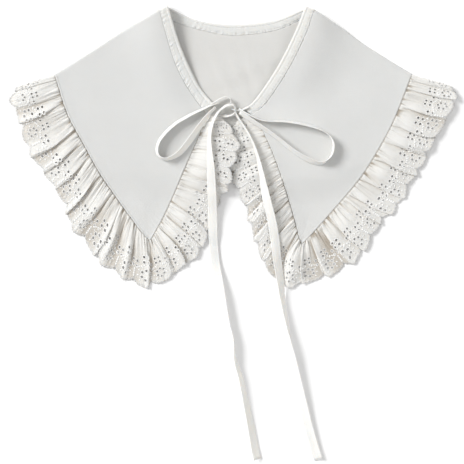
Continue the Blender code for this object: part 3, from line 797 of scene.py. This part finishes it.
def scatter(name, shape, frames, material):
    """One mesh of many small stitches, each set into its own frame of 3 directions."""
    local = places_of(shape)
    bm = bmesh.new()
    for _ in frames:
        bm.from_mesh(shape)
    mesh = mesh_from(bm, name)
    places = [
        centre + local[:, :1] * one + local[:, 1:2] * two + local[:, 2:] * three
        for centre, one, two, three in frames
    ]
    set_places(mesh, np.vstack(places))
    mesh.shade_smooth()
    mesh.materials.append(material)
    item = new_object(name, mesh)
    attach(item, "root")
    return item


def seat_stitches(name, shape, ruffle, rows, material):
    """Stitches on the ruffle: flat place, angle, and half length, width and height in mm."""
    low, high = ruffle.start + 2.0 * MM, ruffle.end - 2.0 * MM
    table = np.array([row for row in rows if low < row[0] < high])
    here, along, inward, out = ruffle.seats(table[:, 0], table[:, 1])
    frames = []
    for i, (_, _, angle, long, wide, tall) in enumerate(table):
        one = along[i] * math.cos(angle) + inward[i] * math.sin(angle)
        two = inward[i] * math.cos(angle) - along[i] * math.sin(angle)
        frames.append((here[i], one * long * MM, two * wide * MM, out[i] * tall * MM))
    scatter(name, small_shape(shape), frames, material)


def embroidery(name, ruffle, material):
    """Satin-stitched rings round the eyelets, and leaves between them."""
    rings, leaves = [], []
    upright = math.pi / 2.0

    def ring(x, y, size):
        rings.append((x, y, 0.0, size, size, size))

    def leaf(x, y, angle, long=1.6, wide=0.75):
        leaves.append((x, y, angle, long, wide, 0.75))

    for k in range(int((ruffle.end - ruffle.start) / REPEAT) + 2):
        centre = k * REPEAT
        half = centre - REPEAT / 2.0
        for x, y in eyelets_of_repeat():
            ring(centre + x, y, EYELET_RADIUS / MM)
        ring(centre, FLOWER_HEIGHT, 0.55 * EYELET_RADIUS / MM)
        for side in (-1.0, 1.0):
            for step in range(4):
                angle = math.pi * (-0.5 + side * (0.16 + 0.2 * step))
                out, rise = math.cos(angle) * LEAF_REACH, math.sin(angle) * LEAF_REACH
                leaf(centre + out, FLOWER_HEIGHT + rise, angle, 1.5)
                out = side * (2.2 + 2.5 * step) * MM
                rise = CLUSTER_HEIGHT + (5.6 + 1.1 * step) * MM
                leaf(centre + out, rise, upright - side * 0.7)
                low = HALF_CLUSTER_HEIGHT + (5.8 + 2.2 * step) * MM
                leaf(half, low, upright - side * 0.8)
        for x, y in ((centre, CLUSTER_HEIGHT), (half, HALF_CLUSTER_HEIGHT)):
            leaf(x, y, 0.0, 1.0, 0.5)
            leaf(x, y, upright, 1.0, 0.5)
    seat_stitches(name + "_rings", "ring", ruffle, rings, material)
    seat_stitches(name + "_leaves", "leaf", ruffle, leaves, material)


# The panels

def puckers(distance, along, pitch, seed):
    """Small gathers in a panel beside its seam, dying out away from it."""
    uneven = 0.6 + 0.4 * wander(along / pitch / 3.0, seed)
    wave = np.cos(2.0 * math.pi * (along / pitch + 0.5 * wander(along / pitch / 4.0, seed + 1)))
    return wave * uneven * np.exp(-distance / PUCKER_REACH)


def neck_rise(away, share):
    """How far the fronts spring up beside the neck, most at the shoulder fold."""
    along = np.clip(1.0 - share / 0.9, 0.0, 1.0) ** 1.2
    return NECK_SPRING * np.exp(-((away / (30.0 * MM)) ** 2)) * along


def front_panel(name, shoulder, side, seam, line, material, seed, welt):
    """A pointed front, folded over at the shoulder and rolled under there."""
    columns, rows = ((120, 140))
    mesh, spots = grid_mesh(name, columns, rows)
    roll_share = ROLL_ROWS / rows
    u = 1.0 - (1.0 - spots[:, 0]) ** 1.5
    turned = np.clip((roll_share - spots[:, 1]) / roll_share, 0.0, 1.0)
    v = 1.0 - (1.0 - np.clip((spots[:, 1] - roll_share) / (1.0 - roll_share), 0.0, 1.0)) ** 1.5
    tip_share = seam.share_of(SEAM_TIP)
    plan = patch(
        shoulder.at,
        lambda share: seam.at(1.0 - share * (1.0 - tip_share)),
        line.at,
        lambda share: seam.at(share * tip_share),
        u,
        v,
    )
    z = ground(plan) + PANEL_WALL / 2.0
    to_outer = (1.0 - u) * PANEL_ACROSS
    to_inner = (1.0 - v) * PANEL_ALONG
    x, y = plan.T
    swell = 0.5 * wander(x / 0.05 + y / 0.09, seed, 2.2)
    swell = swell + 0.35 * wander(y / 0.06 - x / 0.11, seed + 1, 2.0)
    inner = smooth_step(0.0, 0.2, u) * smooth_step(0.0, 0.15, v)
    inner = inner * smooth_step(0.0, 0.15, 1.0 - u) * smooth_step(0.0, 0.15, 1.0 - v)
    z = z + PANEL_SWELL * (0.6 + swell) * inner + neck_rise(u * PANEL_ACROSS, v)
    z = z + PUCKER_RISE * puckers(to_outer, v * OUTER_SEAM, PUCKER_PITCH, seed + 2)
    z = z + PUCKER_RISE * puckers(to_inner, u * INNER_SEAM, PUCKER_PITCH, seed + 3)
    to_seam = np.minimum(to_outer, to_inner)
    z = z + SEAM_RISE * np.exp(-((to_seam / SEAM_RISE_REACH) ** 2))
    ridge = np.where(to_outer < to_inner, welt, WELT_INNER)
    z = z + ridge * np.exp(-(((to_seam - 0.9 * MM) / (0.7 * MM)) ** 2))
    z = z - 0.8 * MM * (1.0 - smooth_step(0.0, 0.9 * MM, to_seam))
    away = shoulder.normal(u) * side
    set_places(mesh, roll_under(plan, z, away, PANEL_WALL / 2.0, turned))
    set_flat_map(mesh, plan)
    return cloth(name, mesh, DOUBLED_LAWN, material, node=name)


def round_back(radii, angle):
    """Plan points on an ellipse about the back's centre."""
    x, y = radii[0] * np.cos(angle), -radii[1] * np.sin(angle)
    return BACK_CENTRE + np.stack([x, y], axis=-1)


def back_panel(name, material):
    """The back, which shows its inside through the neck opening."""
    columns, rows = ((160, 80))
    mesh, spots = grid_mesh(name, columns, rows)
    left, right = Curve(SHOULDER_LEFT), Curve(SHOULDER_RIGHT)

    def hem(share):
        return round_back(HEM_RADII, math.pi * (1.0 - share))

    u, v = spots[:, 0], spots[:, 1]
    plan = patch(Curve(BINDING_LINE_BACK).at, hem, left.at, right.at, u, v)
    x, y = plan.T
    folds = wander(x / 0.020 + y / 0.05, 11, 1.6)
    folds = folds + wander(y / 0.024 - x / 0.06, 12, 1.6)
    folds = folds * smooth_step(0.0, 0.3, v) * (1.0 - smooth_step(0.5, 0.9, v))
    z = 0.5 * MM + 0.28 * MM * (folds + 0.9) * smooth_step(0.0, 0.1, v)
    set_places(mesh, np.column_stack([plan, z]))
    set_flat_map(mesh, plan)
    return cloth(name, mesh, DOUBLED_LAWN, material, node=name)


class BackRuffle:
    """The back's gathered strip, pressed flat under the fronts."""

    def __init__(self):
        self.start = 0.0
        self.end = BACK_FOLDS * FLAT_PER_FOLD

    def shape(self, across, deep):
        share = np.clip(across / self.end, 0.0, 1.0)
        depth = deep / STRIP_DEPTH
        root = round_back(HEM_RADII, np.radians(178.2 - 176.4 * share))
        edge = round_back(BACK_EDGE_RADII, np.radians(172.0 - 164.0 * share))
        crest = (1.0 - np.cos(2.0 * math.pi * share * BACK_FOLDS)) / 2.0
        plan = root + (edge - root) * depth[:, None]
        z = 0.55 * MM + (BACK_FOLD_HEIGHT - 0.6 * MM) * crest * smooth_step(-0.1, 0.5, depth)
        # Painted shade between the back ruffle's folds, for the fold attribute
        return np.column_stack([plan, z]), (1.0 - crest) * 0.3


# The bound neck edge

def binding(name, neck, line, level, material, thread, shoulder_side, seed):
    """The bound neck edge, with puckers along its two rows of stitching."""
    length = neck.length
    columns, rows = int(length / (0.9 * MM)), 20
    mesh, spots = grid_mesh(name, columns, rows)
    roll_share = ROLL_ROWS / columns if shoulder_side else 0.0

    def surface(s, t):
        outer, inner = line.at(s), neck.at(s)
        plan = outer + (inner - outer) * t[:, None]
        crown = np.sqrt(np.clip(1.0 - (2.0 * t - 1.0) ** 6, 0.0, 1.0))
        run = s * length
        pucker = np.cos(2.0 * math.pi * (run / (4.1 * MM) + 0.8 * wander(run / 0.02, seed)))
        uneven = 0.6 + 0.5 * wander(run / 0.008, seed + 1)
        z = level(plan) + 0.6 * MM * crown + (neck_rise(0.0, s) if shoulder_side else 0.0)
        z = z + 0.60 * MM * pucker * uneven * np.exp(-(((t - 0.12) / 0.2) ** 2))
        z = z + 0.30 * MM * pucker * uneven * np.exp(-(((t - 0.7) / 0.2) ** 2))
        z = z - 0.42 * MM * np.exp(-(((t - 0.14) / 0.06) ** 2))
        z = z - 0.36 * MM * np.exp(-(((t - 0.70) / 0.05) ** 2))
        return plan, z + 0.2 * MM * np.exp(-(((t - 0.86) / 0.08) ** 2))

    turned, s = np.zeros(len(spots)), spots[:, 0]
    if shoulder_side:
        turned = np.clip((roll_share - s) / roll_share, 0.0, 1.0)
        s = np.clip((s - roll_share) / (1.0 - roll_share), 0.0, 1.0)
    plan, z = surface(s, spots[:, 1])
    away = neck.at(0.0) - neck.at(0.01)
    away = away / np.linalg.norm(away)
    set_places(mesh, roll_under(plan, z, away, BINDING_WALL / 2.0, turned))
    set_flat_map(mesh, np.column_stack([s * length, spots[:, 1] * TAPE_WIDTH]))
    item = cloth(name, mesh, DOUBLED_LAWN, material, node=name)

    count = int(length / STITCH_PITCH) - 1
    frames = []
    for t_row in STITCH_ROWS:
        centres = (np.arange(count) + 0.75) / (count + 1)
        t = np.full(count, t_row)
        here = np.column_stack(surface(centres, t))
        ahead = np.column_stack(surface(centres + 0.002, t))
        for spot, along in zip(here + UP * 0.33 * MM, ahead - here):
            along = along / np.linalg.norm(along)
            side = np.cross(UP, along)
            up = np.cross(along, side)
            frames.append((spot, along * 1.15 * MM, side * 0.24 * MM, up * 0.2 * MM))
    scatter(name + "_stitches", small_shape("leaf"), frames, thread)
    return item


def front_level(plan):
    return ground(plan) + 0.2 * MM + BINDING_WALL / 2.0


def back_level(plan):
    return np.full(len(plan), 0.55 * MM)


# The bow

def top_under(trees, x, y, radius):
    """Highest point of the pieces below a small disc, or the table."""
    highest = 0.0
    spots = [(0.0, 0.0)]
    for ring in (0.5, 1.0):
        for k in range(8):
            angle = math.pi * k / 4.0
            spots.append((ring * radius * math.cos(angle), ring * radius * math.sin(angle)))
    for dx, dy in spots:
        for tree in trees:
            hit = tree.ray_cast(Vector((x + dx, y + dy, 0.1)), Vector((0.0, 0.0, -1.0)))[0]
            if hit:
                highest = max(highest, hit.z)
    return highest


def tape(name, node, table, trees, material):
    """A tape tie that rests on what lies below it, turned as its table says."""
    dense = smooth_rows(table)
    spacing = np.linalg.norm(np.diff(dense[:, :2], axis=0), axis=1) * MM
    lengths = np.concatenate([[0.0], np.cumsum(spacing)])
    length = lengths[-1]
    stations = int(length / TAPE_STEP)
    run = np.linspace(0.0, length, stations + 1)
    columns = np.stack([np.interp(run, lengths, c) for c in dense.T], axis=-1)
    line = columns[:, :2] * MM
    turn = np.radians(columns[:, 2])
    width = columns[:, 3] * MM
    floor = np.array(
        [
            top_under(trees, x, y, max(w / 2.0 * abs(math.cos(t)) + 1.0 * MM, 3.0 * MM))
            for (x, y), t, w in zip(line, turn, width)
        ]
    )
    high = np.array([floor[max(0, i - 2):i + 3].max() for i in range(len(floor))])
    level = np.array([high[max(0, i - 2):i + 3].mean() for i in range(len(high))])
    mesh, spots = grid_mesh(name, stations, 14)
    index = np.rint(spots[:, 0] * stations).astype(int)
    across = spots[:, 1] * 2.0 - 1.0
    along = np.gradient(line, axis=0)
    along = along / np.linalg.norm(along, axis=1, keepdims=True)
    sideways = np.stack([-along[:, 1], along[:, 0], np.zeros(len(along))], axis=1)
    reach = sideways * np.cos(turn)[:, None] + UP * np.sin(turn)[:, None]
    face = np.cross(np.column_stack([along, np.zeros(len(along))]), reach)
    rise = np.abs(np.sin(turn)) * width / 2.0 + np.abs(np.cos(turn)) * TAPE_WALL
    middle = np.column_stack([line, level + 0.15 * MM + rise])
    cupped = 0.035 * width[index] * (1.0 - across ** 2)
    cupped = cupped + 0.16 * MM * np.exp(-(((np.abs(across) - 0.84) / 0.1) ** 2))
    cupped = cupped - 0.16 * MM * np.exp(-(((np.abs(across) - 0.62) / 0.09) ** 2))
    ripple = 0.12 * MM * wander(run[index] / 0.012, 5) * (1.0 - across ** 2)
    places = middle[index] + reach[index] * (across * width[index] / 2.0)[:, None]
    places = places + face[index] * (cupped + ripple)[:, None]
    set_places(mesh, places)
    set_flat_map(mesh, np.column_stack([run[index], across * 5.0 * MM]))
    item = cloth(name, mesh, TAPE_WALL, material, node=node)


def band(name, table):
    """A short run of tape through given heights, turned as its table says."""
    dense = smooth_rows(table)
    count = len(dense) - 1
    mesh, spots = grid_mesh(name, count, 10)
    index = np.rint(spots[:, 0] * count).astype(int)
    across = spots[:, 1] * 2.0 - 1.0
    line = dense[:, :3] * MM
    along = np.gradient(line, axis=0)
    along = along / np.linalg.norm(along, axis=1, keepdims=True)
    turn, width = np.radians(dense[:, 3]), dense[:, 4] * MM
    sideways = np.cross(UP, along)
    sideways = sideways / np.linalg.norm(sideways, axis=1, keepdims=True)
    upright = np.cross(along, sideways)
    reach = sideways * np.cos(turn)[:, None] + upright * np.sin(turn)[:, None]
    face = np.cross(along, reach)
    cupped = 0.06 * width[index] * (1.0 - across ** 2)
    places = line[index] + reach[index] * (across * width[index] / 2.0)[:, None]
    places = places + face[index] * cupped[:, None]
    set_places(mesh, places)
    length = np.linalg.norm(np.diff(line, axis=0), axis=1).sum()
    set_flat_map(mesh, np.column_stack([spots[:, 0] * length, across * 5.0 * MM]))
    return mesh, length


def knot(name, material):
    """The bow's knot, tied loosely: an arch of tape, its under turn and a curl above."""
    bm = bmesh.new()
    lengths = 0.0
    for k, table in enumerate((KNOT_ARCH, KNOT_UNDER, KNOT_CURL, KNOT_STRAND)):
        mesh, length = band("%s_%d" % (name, k), table)
        bm.from_mesh(mesh)
        lengths += length
    mesh = mesh_from(bm, name)
    item = cloth(name, mesh, TAPE_WALL, material, node="bow_knot")
    crushed = 0.55 * TAPE_WIDTH * lengths


# The set

def set_floor():
    mesh = grid_mesh("table_top", 1, 1)[0]
    set_places(mesh, places_of(mesh) * TABLE_SIZE)
    board = Board("pale_table")
    board.finish(TABLE_WHITE, roughness=0.9, sheen=0.0)
    board.shader.inputs["Emission Color"].default_value = WHITE
    board.shader.inputs["Emission Strength"].default_value = 0.04
    mesh.materials.append(board.material)
    floor = new_object("table_top", mesh)
    floor.location.z = TABLE_LEVEL


def set_camera():
    data = bpy.data.cameras.new("camera")
    data.sensor_width = SENSOR
    data.lens = SENSOR * VIEW_HEIGHT / VIEW_WIDTH
    camera = new_object("camera", data)
    camera.location = (*VIEW_CENTRE, VIEW_HEIGHT)
    bpy.context.scene.camera = camera


def set_lights():
    world = bpy.data.worlds.new("studio")
    bpy.context.scene.world = world
    world.use_nodes = True
    sky = world.node_tree.nodes["Background"].inputs
    sky["Color"].default_value = WHITE
    sky["Strength"].default_value = 0.50
    for name, place, size, power in (
        ("key", (-8.6, 4.6, 6.8), 4.6, 1300.0),
        ("fill", (3.3, -1.5, 3.4), 3.0, 36.0),
    ):
        data = bpy.data.lights.new(name, "AREA")
        data.size = size
        data.energy = power
        light = new_object(name, data)
        light.location = place
        aim = Vector((0.0, -0.1, 0.0)) - light.location
        light.rotation_euler = aim.to_track_quat("-Z", "Y").to_euler()
    bpy.context.scene.view_settings.view_transform = "Standard"


# The whole collar

def build():
    bias_turn = math.pi / 4.0
    lawn = lawn_finish("cotton_lawn", LAWN_TONES)
    eyelet_cloth = lawn_finish("eyelet_cotton", EYELET_TONES, gathered=True)
    # The back shows the lawn painted warmer and darker, as shade
    inside = lawn_finish("lawn_inside_painted_shade", INSIDE_PAINTED_SHADE_TONES)
    bias = lawn_finish("bias_tape", BIAS_TONES, bias_turn, translucent=0.95)
    # The bindings are the bias tape painted darker, as shade
    neck_cloth = lawn_finish("neck_binding_painted_shade", NECK_PAINTED_SHADE_TONES, bias_turn, translucent=0.8)
    satin = thread_finish("embroidery_thread", SATIN)
    thread = thread_finish("sewing_thread", SEWING_THREAD)

    back = back_panel("back", inside)

    seam_left, seam_right = Curve(SEAM_LEFT), Curve(SEAM_RIGHT)
    line_left, line_right = Curve(BINDING_LINE_LEFT), Curve(BINDING_LINE_RIGHT)
    front_left = front_panel(
        "front_left", Curve(SHOULDER_LEFT), 1.0, seam_left, line_left, lawn, 21, WELT_LEFT
    )
    front_right = front_panel(
        "front_right", Curve(SHOULDER_RIGHT), -1.0, seam_right, line_right, lawn, 31, WELT_RIGHT
    )

    tile = lace_tile(30, 9, 34)
    hidden_shape = BackRuffle()
    hidden = edging("ruffle_back", hidden_shape, tile, eyelet_cloth)
    below = [front_left, front_right, back]
    for name, seam, side, table, seed, front in (
        ("ruffle_left", seam_left, 1.0, FOLDS_LEFT, 41, "front_left"),
        ("ruffle_right", seam_right, -1.0, FOLDS_RIGHT, 61, "front_right"),
    ):
        ruffle = Ruffle(seam, side, table, seed)
        piece = edging(name, ruffle, tile, eyelet_cloth)
        embroidery(name, ruffle, satin)
        below.append(piece)

    for name, neck, line, level, seed in (
        ("binding_left", NECK_LEFT, line_left, front_level, 71),
        ("binding_right", NECK_RIGHT, line_right, front_level, 81),
        ("binding_back", NECK_BACK, Curve(BINDING_LINE_BACK), back_level, 91),
    ):
        on_front = level is front_level
        below.append(
            binding(name, Curve(neck), line, level, neck_cloth, thread, on_front, seed)
        )

    graph = bpy.context.evaluated_depsgraph_get()
    trees = [BVHTree.FromObject(item, graph) for item in below]
    knot("bow_knot_tape", bias)
    for name, node, table in (
        ("loop_left", "bow_loop_left", LOOP_LEFT),
        ("loop_right", "bow_loop_right", LOOP_RIGHT),
        ("tail_left", "tie_left", TAIL_LEFT),
        ("tail_right", "tie_right", TAIL_RIGHT),
    ):
        tape(name, node, table, trees, bias)


set_camera()
set_lights()
set_floor()
build()
